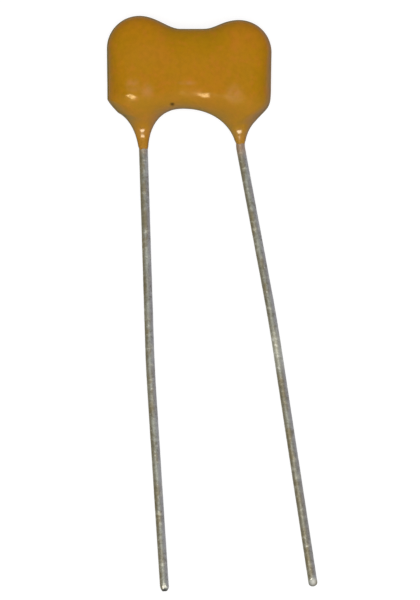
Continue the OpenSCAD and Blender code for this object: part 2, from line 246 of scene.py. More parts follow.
def section_half(a, t):
    """Half the thickness: as thick as wide in a neck, and as the room allows in the body."""
    return (a ** -BLEND_POWER + t ** -BLEND_POWER) ** (-1 / BLEND_POWER)


print("half the room at heights 0, 3 and 6 mm:", room(np.array([0, 3, 6])).round(2))

# %% One section of the coat
COAT_AROUND = 144
# How much squarer than an ellipse a section gets as it grows wider than it is thick
FULLNESS = 1.2
# The hollow between the clamps: its depth, half the width of its floor, and where it runs out
WAIST_DIP, WAIST_FLAT, WAIST_FADE = 0.3, 0.8, 3.3


def signed_power(v, e):
    return np.sign(v) * np.abs(v) ** e


def ring_angles(around):
    return np.arange(around) * 2 * math.pi / around


def section(outer, inner):
    """A ring of the coat, between a point of the outer curve and one of the inner curve."""
    mid, half = (outer + inner) / 2, (outer - inner) / 2
    a = np.linalg.norm(half)
    e = 2 / (2 + FULLNESS * max(0, a / section_half(a, COAT_HALF_T) - 1))
    q = ring_angles(COAT_AROUND)
    across = signed_power(np.cos(q), e)
    x, y = mid[0] + half[0] * across, mid[1] + half[1] * across
    swell = section_half(a, room(y))
    mid_z = LEAD_Z + (COAT_MID_Z - LEAD_Z) * smooth((swell - FILM_R) / (COAT_HALF_T - FILM_R))
    hollow = WAIST_DIP * (1 - smooth((np.abs(x) - WAIST_FLAT) / WAIST_FADE))
    return np.column_stack([x, y, mid_z + (swell - hollow) * signed_power(np.sin(q), e)])


halfway = section(*[curve[len(curve) // 2] for curve in side_pairs(RIGHT)])
print("thickness halfway along the right side:", np.ptp(halfway[:, 2]).round(2), "mm")

# %% All sections of the coat
left_out, left_in = side_pairs(LEFT)
right_out, right_in = side_pairs(RIGHT)
mirror = np.array([-1, 1])
outer_curve = np.vstack([left_out * mirror, right_out[-2::-1]])
inner_curve = np.vstack([left_in * mirror, right_in[-2::-1]])
plain_rings = np.array([section(o, i) for o, i in zip(outer_curve, inner_curve)])
print("coat sections:", len(plain_rings))

# %% [markdown]
# ## Life in the resin
#
# Dipped resin is never quite even. Broad, shallow lumps lie under the gloss, and the last of
# the resin ends on each wire in a ragged feather edge. The short highlights of the photograph
# tell of a few flat spots in the skin: one on a swelling of the left lobe, one over the arch,
# two on the left neck and one on the right. A flat spot mirrors a lamp as one patch, where a
# round skin shows a thin line.
#
# A bump in the material would bend the gloss but not the outline, and it is lost wherever
# only the mesh is used. So real points are moved here, by hundredths of a millimetre.

# %% Lumps and outward directions
# Keeps a division from meeting zero
TINY = 1e-9


def lump_heights(rings, size, depth, shift):
    """Soft lumps about size mm across and up to depth mm high, one height for each point."""
    shift = Vector(shift)
    heights = [depth * noise.noise(Vector(p) / size + shift) for p in rings.reshape(-1, 3)]
    return np.array(heights).reshape(rings.shape[:2])


def ring_normals(rings):
    """The outward direction at each point, from its neighbours around and along the skin."""
    around = np.roll(rings, -1, axis=1) - np.roll(rings, 1, axis=1)
    normal = np.cross(around, np.gradient(rings, axis=0))
    return normal / np.maximum(np.linalg.norm(normal, axis=2, keepdims=True), TINY)


plain_normals = ring_normals(plain_rings)
print("share of the skin that faces the front:", (plain_normals[..., 2] > 0).mean().round(3))

# %% Lumpy skin
# The skin lies this far inside that of the CAD, so that the lumps stay in its box
COAT_SINK = 0.015
# Size and depth of the lumps and the ripples, and their place in the noise
LUMPS = (2.6, 0.012, (3.1, 0, 0))
RIPPLES = (0.8, 0.002, (0, 7.7, 0))
# A swelling on the front of the left lobe: x, y, half width, half height and rise
SWELLING = (-5.6, 4.92, 0.9, 0.4, 0.05)


def roughened(rings, normals):
    push = lump_heights(rings, *LUMPS) + lump_heights(rings, *RIPPLES) - COAT_SINK
    x, y, wide, high, rise = SWELLING
    far = ((rings[..., 0] - x) / wide) ** 2 + ((rings[..., 1] - y) / high) ** 2
    push += rise * np.exp(-far / 2) * np.clip(normals[..., 2], 0, 1)
    return rings + normals * push[:, :, None]


lumpy_rings = roughened(plain_rings, plain_normals)
print("points moved by up to", np.abs(lumpy_rings - plain_rings).max().round(3), "mm")

# %% Flat spots
# On the front: x, y, half width and half height
FLAT_SPOTS = ((-5.7, 4.66, 0.42, 0.21), (1.15, 4.57, 0.56, 0.32), (-4.43, 1.59, 0.32, 0.24),
              (-4.37, 1.05, 0.24, 0.17), (4.26, 1.46, 0.36, 0.27))
# How fast a flat spot rises to the right and upwards
SPOT_SLOPE = (0.08, 0.4)


def flattened(rings, front):
    """Draws the front of the coat towards a small plane at each flat spot."""
    out = rings.copy()
    for x, y, wide, high in FLAT_SPOTS:
        dx, dy = out[..., 0] - x, out[..., 1] - y
        far = (dx / wide) ** 2 + (dy / high) ** 2
        middle = np.where(front, far, np.inf).argmin()
        plane = out[..., 2].flat[middle] + SPOT_SLOPE[0] * dx + SPOT_SLOPE[1] * dy
        out[..., 2] += np.where(front, np.exp(-far ** 2), 0) * (plane - out[..., 2])
    return out


spotted_rings = flattened(lumpy_rings, plain_normals[..., 2] > 0)
print("flat spots:", len(FLAT_SPOTS))

# %% Feather edge
# Height over which the film thins out, how ragged its end is, and how far it ends in the tin
FEATHER_TOP, FEATHER_RAG, FEATHER_TUCK = 0.35, 0.12, 0.01
# Only points this close to the middle of a wire belong to its film
FEATHER_ROOM = 3 * WIRE_R


def feathered(rings, s):
    """Thins the film on a wire to nothing at a ragged line just above the coat's end."""
    out = rings.copy()
    dx, dz = out[..., 0] - WIRE_X[s], out[..., 2] - LEAD_Z
    radius, angle = np.hypot(dx, dz), np.arctan2(dz, dx)
    low = (out[..., 1] < EXIT_Y[s] + FEATHER_TOP + FEATHER_RAG) & (radius < FEATHER_ROOM)
    # Two crests and five crests round the wire together make the ragged end
    rag = FEATHER_RAG * (0.5 + 0.25 * np.sin(2 * angle + s) + 0.25 * np.sin(5 * angle + 2 * s))
    film = smooth((out[..., 1] - EXIT_Y[s] - rag) / FEATHER_TOP)
    thin = WIRE_R - FEATHER_TUCK + (radius - WIRE_R + FEATHER_TUCK) * film
    scale = np.where(low, thin / np.maximum(radius, TINY), 1)
    out[..., 0] = WIRE_X[s] + dx * scale
    out[..., 2] = LEAD_Z + dz * scale
    return out


coat = skin_object("resin_coat", feathered(feathered(spotted_rings, LEFT), RIGHT))

# %% [markdown]
# ## The wires
#
# The leads are stiff tinned wire. Each leaves the coat, bends at once, and runs almost
# straight with one very slow bend halfway. A curve object with a round bevel would be quick,
# but it can't be lumpy and its ends are plain. So the path is walked in small steps, and a
# ring of points is set across it at each step. Hot tinning leaves the wire slightly lumpy, so
# the rings get a little noise.
#
# The left end was cut square: its edge is rounded, its front is bevelled, and a small burr
# stands out on the right. The right end was cut on a slope that faces the front.

# %% Wire paths
WIRE_STEP = 0.12
# Radius of the bend below the coat and of the slow bend
EXIT_BEND, SLOW_BEND = 2, 150
# Lean after the first bend and turn of the second in degrees, left and right
LEAN, TURN = (1.8, 10.6), (1.9, -1.9)
# Straight lengths above and below the slow bend
UPPER, LOWER = (17, 13), (17.4, 21.1)
# What each cut adds to the length: the left one's edge and the right one's slope
RIGHT_CUT_DEG = 42
RIGHT_CUT_H = 2 * WIRE_R * math.tan(math.radians(RIGHT_CUT_DEG))
TIP_LENGTH = (0.18, RIGHT_CUT_H)


def lead_path(s):
    """Points and headings along a lead, from the coat's end to its lowest cut edge."""
    place = np.array([WIRE_X[s], EXIT_Y[s]])
    lean, points, leans = 0.0, [place], [0.0]
    for length, turn in ((EXIT_BEND * math.radians(abs(LEAN[s])), LEAN[s]), (UPPER[s], 0),
                         (SLOW_BEND * math.radians(abs(TURN[s])), TURN[s]),
                         (LOWER[s] + TIP_LENGTH[s], 0)):
        count = max(2, round(length / WIRE_STEP))
        for k in range(count):
            middle = math.radians(lean + turn * (k + 0.5) / count)
            place = place + length / count * np.array([math.sin(middle), -math.cos(middle)])
            points.append(place)
            leans.append(lean + turn * (k + 1) / count)
        lean += turn
    return np.array(points), np.radians(leans)


for s in (LEFT, RIGHT):
    print("lead", s, "tip at", lead_path(s)[0][-1].round(3))

# %% Wire rings
WIRE_AROUND = 48
# Height of the wire's top, and of the one ring between there and the coat's end
LEAD_TOP, INNER_RING = 10.6, 1.2
# The skin lies this far inside that of the CAD, so that the lumps stay in its box
WIRE_SINK = 0.006
# Size and depth of the tin's fine lumps and long swellings, and their places in the noise
TIN_LUMPS, TIN_PLACE = (0.55, 0.005), 5
LONG_LUMPS, LONG_PLACE = (2.2, 0.004), 9


def lead_rings(s):
    """The rings of a lead from its top to its end, and its lean at each ring."""
    path, leans = lead_path(s)
    start = np.array([[WIRE_X[s], LEAD_TOP], [WIRE_X[s], EXIT_Y[s] + INNER_RING]])
    path, leans = np.vstack([start, path]), np.concatenate([[0, 0], leans])
    q = ring_angles(WIRE_AROUND)[None, :, None]
    side = np.column_stack([np.cos(leans), np.sin(leans), np.zeros(len(leans))])
    ring = WIRE_R * (side[:, None, :] * np.cos(q) + np.array([0, 0, 1]) * np.sin(q))
    centre = np.column_stack([path, np.full(len(path), LEAD_Z)])[:, None, :]
    push = (lump_heights(centre + ring, *TIN_LUMPS, (0, 0, TIN_PLACE + s))
            + lump_heights(centre + ring, *LONG_LUMPS, (LONG_PLACE + s, 0, 0)) - WIRE_SINK)
    return centre + ring * (1 + push / WIRE_R)[:, :, None], leans


def lead_end(rings, leans):
    """The direction in which a lead ends, and the middle of its last ring."""
    axis = np.array([math.sin(leans[-1]), -math.cos(leans[-1]), 0])
    return axis, rings[-1].mean(axis=0)


left_rings, left_leans = lead_rings(LEFT)
right_rings, right_leans = lead_rings(RIGHT)
print("wire rings:", len(left_rings), "and", len(right_rings))

# %% Left tip
# The rings of the tip begin this far back and have this step
TIP_BACK, TIP_STEP = 0.52, 0.03
# Back from the left end in mm, share of the full width there, and the burr on its right
TIP_EDGE = ((0, 0.46, 0), (0.03, 0.54, 0), (0.1, 0.66, 0), (0.2, 0.8, 0.04),
            (0.3, 0.9, 0.09), (0.4, 0.97, 0.05), (0.5, 1, 0))
# The higher this power, the narrower the burr
BURR_POWER = 4
# The bevel on the front: how far back it begins, its slope and its skew
BEVEL_BACK, BEVEL_SLOPE, BEVEL_SKEW = 0.8, 0.15, 0.36
# Its rounding off towards the end: how far back that begins, and how strongly it curves
ROUND_BACK, ROUND_CURVE = 0.46, 2.4


def square_tip(rings, leans):
    """Draws the last rings in to a rounded edge, with a burr and a bevel on the front."""
    axis, end = lead_end(rings, leans)
    out = [r for r in rings if (end - r.mean(axis=0)) @ axis > TIP_BACK]
    burr_side = np.clip(np.cos(ring_angles(WIRE_AROUND)), 0, 1)[:, None] ** BURR_POWER
    backs, widths, burrs = np.array(TIP_EDGE).T
    for place in np.arange(TIP_BACK, 0, -TIP_STEP):
        width, burr = np.interp(place, backs, widths), np.interp(place, backs, burrs)
        out.append(end - axis * place + (rings[-1] - end) * (width + burr * burr_side))
    out = np.array(out)
    back = (end - out) @ axis - BEVEL_SKEW * (out[..., 0] - end[0])
    drop = (BEVEL_SLOPE * np.clip(BEVEL_BACK - back, 0, None)
            + ROUND_CURVE / 2 * np.clip(ROUND_BACK - back, 0, None) ** 2)
    top = LEAD_Z + WIRE_R - WIRE_SINK - drop
    out[..., 2] = np.where(drop > 0, np.minimum(out[..., 2], top), out[..., 2])
    return out


left_wire = skin_object("left_wire", square_tip(left_rings, left_leans), 1)

# %% Right tip
# The stretch over which the rings lean over to the sloped cut
CUT_BACK = 1.5


def sloped_tip(rings, leans):
    """Leans the last rings over, step by step, to a cut that faces the front."""
    axis, end = lead_end(rings, leans)
    share = np.clip(1 - (end - rings) @ axis / CUT_BACK, 0, 1)
    height = np.clip((rings[..., 2] - LEAD_Z + WIRE_R) / (2 * WIRE_R), 0, 1)
    return rings - axis * (RIGHT_CUT_H * height * share)[..., None]


right_wire = skin_object("right_wire", sloped_tip(right_rings, right_leans))

# %% [markdown]
# ## A small language for materials
#
# A material is a chain of nodes. Written out one by one the chain hides the idea, and drawn
# in the node editor it can't be kept in a script. So one small class wraps a node's output
# and lets plain arithmetic add the Math nodes. Every other node comes from one method, which
# takes its type, its settings and its sockets, and a few words are built on it.

# %% A wrapped socket
class Value:
    """The output of a shader node. Arithmetic on it adds Math nodes."""

    def __init__(self, finish, out):
        self.finish, self.out = finish, out

    def maths(self, operation, first, second):
        return self.finish.node("Math", {"operation": operation}, {0: first, 1: second})

    def __add__(self, other):
        return self.maths("ADD", self, other)

    def __sub__(self, other):
        return self.maths("SUBTRACT", self, other)

    def __rsub__(self, other):
        return self.maths("SUBTRACT", other, self)

    def __mul__(self, other):
        return self.maths("MULTIPLY", self, other)

    __radd__ = __add__
    __rmul__ = __mul__


print("operators:", [word for word in vars(Value) if word.endswith(("add__", "sub__", "mul__"))])

# %% The nodes of a finish
class NodeChain:
    """The nodes of a material, or of the sky."""

    def __init__(self, owner):
        self.owner = owner
        owner.use_nodes = True
        self.tree = owner.node_tree
        self.tree.nodes.clear()

    def node(self, kind, settings, sockets, out=0):
        made = self.tree.nodes.new("ShaderNode" + kind)
        for key, value in settings.items():
            if key == "stops":
                for _ in range(len(value) - 2):
                    made.color_ramp.elements.new(0.5)
                for stop, (place, colour) in zip(made.color_ramp.elements, value):
                    stop.position, stop.color = place, colour
            else:
                setattr(made, key, value)
        for key, value in sockets.items():
            if isinstance(value, Value):
                self.tree.links.new(value.out, made.inputs[key])
            else:
                made.inputs[key].default_value = value
        return Value(self, made.outputs[out]) if made.outputs else None

    def show(self, shader, end="OutputMaterial"):
        self.node(end, {}, {"Surface": shader})
        return self.owner


def srgb(red, green, blue):
    """A colour as read on a screen, 0 to 255, turned by the sRGB formula into a linear one."""
    return tuple(((c / 255 + 0.055) / 1.055) ** 2.4 if c > 10 else c / 3295
                 for c in (red, green, blue)) + (1,)


print("a middle grey on the screen is", round(srgb(128, 128, 128)[0], 3), "of full light")

# %% Words for places
class PlaceWords(NodeChain):
    """A chain of nodes with words for where on the surface something is."""

    def place(self):
        """The upright coordinates of the surface, in mm."""
        spot = self.node("TexCoord", {}, {}, "Object")
        return self.node("Mapping", {"vector_type": "TEXTURE"},
                         {"Vector": spot, "Location": upright.translation,
                          "Rotation": (tilt, 0, 0), "Scale": (MM, MM, MM)})

    def facing(self, axis):
        """How far the surface faces along an axis of the part, from -1 to 1."""
        normal = self.node("TexCoord", {}, {}, "Normal")
        return self.node("SeparateXYZ", {}, {0: normal}, axis)

    def noise(self, place, size, detail=2.0, rough=0.5, warp=0.0):
        """Soft noise from 0 to 1, whose lumps are about size mm across."""
        return self.node("TexNoise", {}, {"Vector": place, "Scale": 1 / size, "Detail": detail,
                                          "Roughness": rough, "Distortion": warp})

    def squeezed(self, place, squeeze):
        """Coordinates in which a pattern is drawn out where the number is below 1."""
        return self.node("VectorMath", {"operation": "MULTIPLY"}, {0: place, 1: squeeze})

    def between(self, value, low, high):
        """0 at low, 1 at high and smooth between. High may be the smaller of the two."""
        return self.node("MapRange", {"interpolation_type": "SMOOTHSTEP"},
                         {"Value": value, "From Min": low, "From Max": high})

    def near(self, place, spot, reach, squeeze=(1, 1, 1)):
        """1 at a spot and 0 beyond its reach. The spot may be squeezed or drawn out."""
        away = self.node("VectorMath", {"operation": "SUBTRACT"}, {0: place, 1: spot})
        far = self.node("VectorMath", {"operation": "LENGTH"},
                        {0: self.squeezed(away, squeeze)}, "Value")
        return 1 - self.between(far, 0, reach)


print("words:", [word for word in vars(PlaceWords) if not word.startswith("_")])

# %% Words for colours
# A Mix node has several sockets of each name, so its two colours and its result go by number
MIX_BELOW, MIX_ABOVE, MIX_RESULT = 6, 7, 2


class Finish(PlaceWords):
    """A chain of nodes with words for colours and bumps as well."""

    def ramp(self, value, *stops):
        """A colour ramp from stops of place and colour."""
        return self.node("ValToRGB", {"stops": stops}, {0: value})

    def mix(self, share, below, above):
        return self.node("Mix", {"data_type": "RGBA"},
                         {0: share, MIX_BELOW: below, MIX_ABOVE: above}, MIX_RESULT)

    def layer(self, colour, value, low, high, share, tone):
        """Lays a share of a tone over a colour where a value has gone from low to high."""
        return self.mix(self.between(value, low, high) * share, colour, tone)

    def bump(self, height, distance):
        return self.node("Bump", {}, {"Height": height, "Distance": distance}, "Normal")

    def principled(self, sockets):
        return self.show(self.node("BsdfPrincipled", {}, sockets))


def finish_of(name):
    return Finish(bpy.data.materials.new(name))


def sum_of(masks):
    return sum(masks[1:], masks[0])


print("words:", [word for word in vars(Finish) if not word.startswith("_")])

# %% [markdown]
# ## Ochre resin
#
# The coat is a glossy, opaque resin filled with pigment. Seen close it is mottled: broad
# olive and orange clouds, a finer grain and small orange flecks. A few paler patches low on
# the face are painted sheen, a dull highlight put into the colour. It gets browner where it
# is a thin film on the wires. One dark speck sits in it above the arch. All this could be
# painted on an image, but noise in the upright coordinates needs no file and no unwrapping,
# and keeps its scale in millimetres.

# %% Mottled resin
# Noise in the resin: size in mm, detail, roughness and warp
CLOUDS, WARMTH = (4.5, 3.0, 0.5, 0.4), (3.2, 2.0, 0.5, 0.2)
GRAIN, FLECKS = (0.45, 4.0, 0.6), (0.8, 3.0, 0.65)
CLOUD_TONES = ((0.35, srgb(166, 119, 12)), (0.65, srgb(177, 118, 16)))
# Layers: where the noise starts and ends to tell, share of the tone, and the tone
WARM_LAYER = (0.5, 0.72, 0.5, srgb(184, 115, 30))
GRAIN_LAYER = (0.35, 0.7, 0.35, srgb(150, 104, 10))
FLECK_LAYER = (0.52, 0.66, 0.3, srgb(190, 112, 36))


def mottled(finish, place, warmth, grain):
    """The resin's colour in the middle of the face."""
    colour = finish.ramp(finish.noise(place, *CLOUDS), *CLOUD_TONES)
    colour = finish.layer(colour, warmth, *WARM_LAYER)
    colour = finish.layer(colour, grain, *GRAIN_LAYER)
    return finish.layer(colour, finish.noise(place, *FLECKS), *FLECK_LAYER)


print("clouds", CLOUDS[0], "mm, flecks", FLECKS[0], "mm and grain", GRAIN[0], "mm across")

# %% Patches and films
# Patches of painted sheen, a dull highlight put into the colour: place, reach and how flat they
# are
SHEEN_SPOTS = (((-5.27, 5.5, 2.0), 0.9, 1), ((-4.0, 5.0, 2.0), 0.9, 1),
              ((3.8, 4.8, 2.0), 1.1, 1), ((-0.4, 5.76, 2.0), 1.1, 4))
# They are a little taller than wide and go deep, and noise breaks them up
SHEEN_HIGH, SHEEN_DEEP = 0.9, 0.3
SHEEN_NOISE, SHEEN_BREAK = (0.7, 3.0, 0.6), (0.2, 0.6)
SHEEN_SHARE, SHEEN_TONE = 0.3, srgb(204, 148, 100)
# The neck, and the film that ends on the wire: reach from the coat's end, share and tone
THIN_COATS = ((2.6, 0.5, srgb(166, 122, 56)), (0.6, 0.6, srgb(142, 112, 66)))


def patched(finish, place, colour):
    """Lays the patches of painted sheen and the browner necks over the resin's colour."""
    sheen = sum_of([finish.near(place, spot, reach, (1, SHEEN_HIGH * flat, SHEEN_DEEP))
                   for spot, reach, flat in SHEEN_SPOTS])
    sheen = sheen * finish.between(finish.noise(place, *SHEEN_NOISE), *SHEEN_BREAK)
    # Painted sheen: the patches are made paler where a dull highlight lies
    colour = finish.mix(sheen * SHEEN_SHARE, colour, SHEEN_TONE)
    for reach, share, tone in THIN_COATS:
        thin = sum_of([finish.near(place, end, reach) for end in FILM_ENDS])
        colour = finish.mix(thin * share, colour, tone)
    return colour


print("pale patches:", len(SHEEN_SPOTS))

# %% [markdown]
# ## Rims and gloss of the resin
#
# Where the skin turns away from the front its colour holds painted shade: a duller, darker
# olive rim, which is paler and greyer where the skin faces down or to the right, a painted
# reflection, with a thin painted dark shade line low down. Where it faces down the colour is
# also painted a little lighter, as painted light. A shader that looks at the camera would
# paint this in the wrong place in other views. The tone depends on which way the surface
# faces in the part's own frame instead, and it runs out before the back.
#
# The gloss is weak and a little warm. It is dulled in a few places, where the real skin shows
# no highlight though it faces the lamp the same way. A faint second coat on each neck adds
# the broad, soft shine of the bead of resin there.

# %% Rims of the resin
# Ways to face: from where to where along an axis a tone comes in
FACES_DOWN, FACES_RIGHT, RIGHT_HALF = (-0.1, -0.6), (0.1, 0.7), (-0.3, 0.3)
# Painted light: where the skin faces down its colour is made a little lighter
LOW_LIGHT_SHARE, LOW_LIGHT_TONE = 0.25, srgb(190, 143, 56)
# How much the skin still faces the front where the rim begins, what the painted reflection adds
# to that, how much where the rim is full, and from where to where it runs out again behind
RIM_START, RIM_SOONER, RIM_FULL = 0.5, 0.26, 0.26
BEHIND = (-0.05, 0.2)
# Share of the rim's painted shade, and how much less it is where painted reflection takes its
# place
RIM_SHADE_SHARE, REFLECTION_CLEARS = 0.8, 0.2
# Painted shade at the rim, and the paler painted reflection on its left and right halves where
# the skin faces down or right
RIM_SHADE_TONE, REFLECTION_LEFT, REFLECTION_RIGHT = srgb(104, 97, 10), srgb(138, 123, 68), srgb(140, 117, 92)
# The thin painted dark shade line low down
SHADE_LINE_START, SHADE_LINE_SHARE, SHADE_LINE_TONE = (0.34, 0.12), 0.7, srgb(84, 76, 40)


def rimmed(finish, colour):
    """Lays painted shade, painted reflection and painted light on the turned-away skin. Gives
    back the rim's mask too.
    """
    right, up, front = [finish.facing(axis) for axis in "XYZ"]
    low = finish.between(up, *FACES_DOWN)
    # Painted light on the skin that faces down
    colour = finish.mix(low * LOW_LIGHT_SHARE, colour, LOW_LIGHT_TONE)
    reflecting = 1 - (1 - low) * (1 - finish.between(right, *FACES_RIGHT))
    rim = finish.between(front, RIM_START + reflecting * RIM_SOONER, RIM_FULL)
    rim = rim * finish.between(front, *BEHIND)
    reflection_tone = finish.mix(finish.between(right, *RIGHT_HALF), REFLECTION_LEFT, REFLECTION_RIGHT)
    # Painted shade on the rim, and painted reflection where the skin faces down or right
    colour = finish.mix(rim * (RIM_SHADE_SHARE - reflecting * REFLECTION_CLEARS), colour,
                        finish.mix(reflecting, RIM_SHADE_TONE, reflection_tone))
    # Painted shade: a thin dark line where the rim faces down
    line = finish.between(front, *SHADE_LINE_START) * rim * low
    return finish.mix(line * SHADE_LINE_SHARE, colour, SHADE_LINE_TONE), rim


print("the rims begin", round(math.degrees(math.acos(RIM_START))), "degrees from the front")

# %% Gloss of the resin
# Places where the gloss is dulled, each with its reach, and the beads on the necks
DULL_SPOTS = (((3.95, 4.7, 2.0), 1.4), ((-0.25, 4.95, 2.0), 1.15), ((0.6, 5.02, 2.0), 0.5),
              ((4.3, 0.7, -0.6), 0.5))
BEADS, BEAD_REACH = ((-4.42, 1.4, -0.5), (4.25, 1.4, -0.5)), 0.9
# Roughness of the skin, and what the clouds, the dull places, the beads and the rims add
SKIN_ROUGH, WARM_ROUGH, WARM_RANGE = 0.19, 0.02, (0.4, 0.7)
DULL_ROUGH, BEAD_ROUGH, RIM_ROUGH = 0.4, 0.04, 0.4


def gloss_masks(finish, place, warmth, rim):
    """The roughness of the skin, and the mask of the beads."""
    dull = sum_of([finish.near(place, spot, reach) for spot, reach in DULL_SPOTS])
    bead = sum_of([finish.near(place, spot, BEAD_REACH) for spot in BEADS])
    rough = (SKIN_ROUGH + finish.between(warmth, *WARM_RANGE) * WARM_ROUGH + dull * DULL_ROUGH
             + bead * BEAD_ROUGH + rim * RIM_ROUGH)
    return rough, bead


print("dull places:", len(DULL_SPOTS), "beads:", len(BEADS))

# %% Resin finish
# The speck: place, reach and squeeze
SPECK = ((-1.74, 3.89, 1.3), 0.32, (1, 1.3, 0.1))
SPECK_SHARE, SPECK_TONE = 0.9, srgb(58, 46, 8)
RESIN_IOR, RESIN_GLOSS, RESIN_SHEEN = 1.5, 0.06, srgb(255, 224, 168)
BEAD_COAT, COAT_ROUGH = 0.4, 0.35
# The faint bump: how much the grain tells, the peel's noise, and the height in metres
GRAIN_BUMP, PEEL, RESIN_BUMP = 0.3, (0.9, 2.0, 0.5), 0.000008


def resin_finish():
    finish = finish_of("ochre_resin")
    place = finish.place()
    warmth, grain = finish.noise(place, *WARMTH), finish.noise(place, *GRAIN)
    colour = patched(finish, place, mottled(finish, place, warmth, grain))
    colour, rim = rimmed(finish, colour)
    colour = finish.mix(finish.near(place, *SPECK) * SPECK_SHARE, colour, SPECK_TONE)
    rough, bead = gloss_masks(finish, place, warmth, rim)
    height = grain * GRAIN_BUMP + finish.noise(place, *PEEL)
    return finish.principled({"Base Color": colour, "Roughness": rough, "IOR": RESIN_IOR,
                              "Specular IOR Level": RESIN_GLOSS, "Specular Tint": RESIN_SHEEN,
                              "Coat Weight": bead * BEAD_COAT, "Coat Roughness": COAT_ROUGH,
                              "Normal": finish.bump(height, RESIN_BUMP)})


resin = resin_finish()
print("nodes in the resin:", len(resin.node_tree.nodes))

# %% [markdown]
# ## Tinned wire
#
# The tin is old and dull: grey with olive brown stains, pitted, banded across, with a few
# bright specks. It is a metal, so its colour is the colour of its reflections. A mirror-like
# metal would show only the white studio, so roughness spreads the reflections, and the noise
# that tints the stains also makes them rougher. The side of the wire that faces right is
# painted lighter, a painted reflection, and the side that faces left darker and more olive, a
# painted shade, again by the way they face.
#
# Each wire has a few marks of its own: a brown film of resin just below the coat, the dark
# edge of its tip, on the right one its bright cut face, a bright scraped patch halfway down
# and a darker stretch near the end, and on the left one a faint painted highlight on the bevel.

# %% Tones of the tin
# Noise in the tin: size in mm, detail, roughness and warp
STAINS, BANDS, PITS = (0.9, 4.0, 0.6, 0.5), (0.5, 4.0, 0.65), (0.16, 3.0, 0.6)
GLINTS, TIN_GRAIN = (0.32, 2.0, 0.5), (0.22, 3.0, 0.55)
# Stains are drawn out along the wire, and bands across it
ALONG, ACROSS = (1, 0.45, 1), (0.8, 1.2, 0.8)
STAIN_TONES = ((0.36, srgb(140, 143, 135)), (0.48, srgb(122, 123, 117)),
               (0.6, srgb(108, 102, 86)))
BROWN_TONE = srgb(98, 93, 75)
# Layers: where a value starts and ends to tell, share of the tone, and the tone
# Painted light and shade: the side facing right is made lighter, a painted reflection, and the
# side facing left darker and more olive, a painted shade
LIT_RIGHT_SIDE = (0.0, 0.85, 0.75, srgb(148, 146, 153))
SHADED_LEFT_SIDE = (0.05, -0.85, 0.65, srgb(106, 97, 64))
PALE_BANDS = (0.46, 0.32, 0.5, srgb(172, 172, 158))
DARK_BANDS = (0.52, 0.66, 0.55, srgb(90, 86, 66))
GLINT_LAYER = (0.66, 0.76, 0.6, srgb(195, 194, 186))
PIT_LAYER = (0.56, 0.7, 0.6, srgb(66, 62, 50))
# Where the right wire was scraped bright, how far that reaches, and the glints it adds
SCRAPED, SCRAPE_GLINTS = ((7.2, -18.2, LEAD_Z), 3.2), 0.12
print("stains", STAINS[0], "mm, bands", BANDS[0], "mm and pits", PITS[0], "mm across")

# %% Tin finish
# Roughness of the tin, and what the stains add, over what range of their noise
TIN_METAL, TIN_ROUGH, STAIN_ROUGH, STAIN_RANGE = 0.85, 0.38, 0.16, (0.3, 0.7)
# How much the pits tell in the bump, and its height in metres
PIT_BUMP, TIN_BUMP = 0.4, 0.000015


def tin_finish(name, brown, marks):
    finish = finish_of(name)
    place = finish.place()
    stains = finish.noise(finish.squeezed(place, ALONG), *STAINS)
    bands = finish.noise(finish.squeezed(place, ACROSS), *BANDS)
    pits = finish.noise(place, *PITS)
    glints = finish.noise(place, *GLINTS) + finish.near(place, *SCRAPED) * SCRAPE_GLINTS
    right = finish.facing("X")
    colour = finish.mix(brown, finish.ramp(stains, *STAIN_TONES), BROWN_TONE)
    # The first two layers are painted light on the right side and painted shade on the left
    for value, layer in ((right, LIT_RIGHT_SIDE), (right, SHADED_LEFT_SIDE), (bands, PALE_BANDS),
                         (bands, DARK_BANDS), (glints, GLINT_LAYER), (pits, PIT_LAYER)):
        colour = finish.layer(colour, value, *layer)
    for spot, reach, squeeze, share, tone in marks:
        colour = finish.mix(finish.near(place, spot, reach, squeeze) * share, colour, tone)
    rough = TIN_ROUGH + finish.between(stains, *STAIN_RANGE) * STAIN_ROUGH
    height = finish.noise(place, *TIN_GRAIN) + pits * PIT_BUMP
    return finish.principled({"Base Color": colour, "Metallic": TIN_METAL, "Roughness": rough,
                              "Normal": finish.bump(height, TIN_BUMP)})


print("the tin's roughness runs from", TIN_ROUGH, "to", TIN_ROUGH + STAIN_ROUGH)

# %% Marks on the wires
# The tone of the right tip's cut face, which on the left tip serves as a painted highlight on
# the bevel
FILM_TONE, CUT_AND_SHEEN_TONE, DARK_TONE = srgb(146, 116, 88), srgb(232, 231, 222), srgb(48, 48, 44)
SCRAPED_TONE, DULL_TONE = srgb(172, 173, 160), srgb(104, 96, 76)
ROUND = (1, 1, 1)
left_end, right_end = left_rings[-1].mean(axis=0), right_rings[-1].mean(axis=0)
# Each mark: place, reach, squeeze, share and tone. The film comes first, and the tip last
left_marks = ((FILM_ENDS[LEFT], 0.75, ROUND, 0.6, FILM_TONE),
              # A faint painted highlight on the bevel of the left tip
              (left_end + (0.05, 0.42, 0), 0.24, (0.5, 1, 0.1), 0.2, CUT_AND_SHEEN_TONE),
              (left_end + (0, 0.09, 0), 0.32, (0.5, 1, 0.1), 1, DARK_TONE))
right_marks = ((FILM_ENDS[RIGHT], 1.5, ROUND, 0.85, FILM_TONE),
               (*SCRAPED, ROUND, 0.45, SCRAPED_TONE),
               ((9.3, -32, LEAD_Z), 9, ROUND, 0.25, DULL_TONE),
               (right_end, 0.7, (1, 1, 0.3), 0.6, DARK_TONE),
               (right_end + (-0.04, 0.45, 0), 0.42, (1.0, 0.75, 0.3), 0.62, CUT_AND_SHEEN_TONE))
# The right wire is a little browner
LEFT_BROWN, RIGHT_BROWN = 0.0, 0.15
left_tin = tin_finish("left_tin", LEFT_BROWN, left_marks)
right_tin = tin_finish("right_tin", RIGHT_BROWN, right_marks)
print("nodes in the tin:", len(left_tin.node_tree.nodes), "and", len(right_tin.node_tree.nodes))

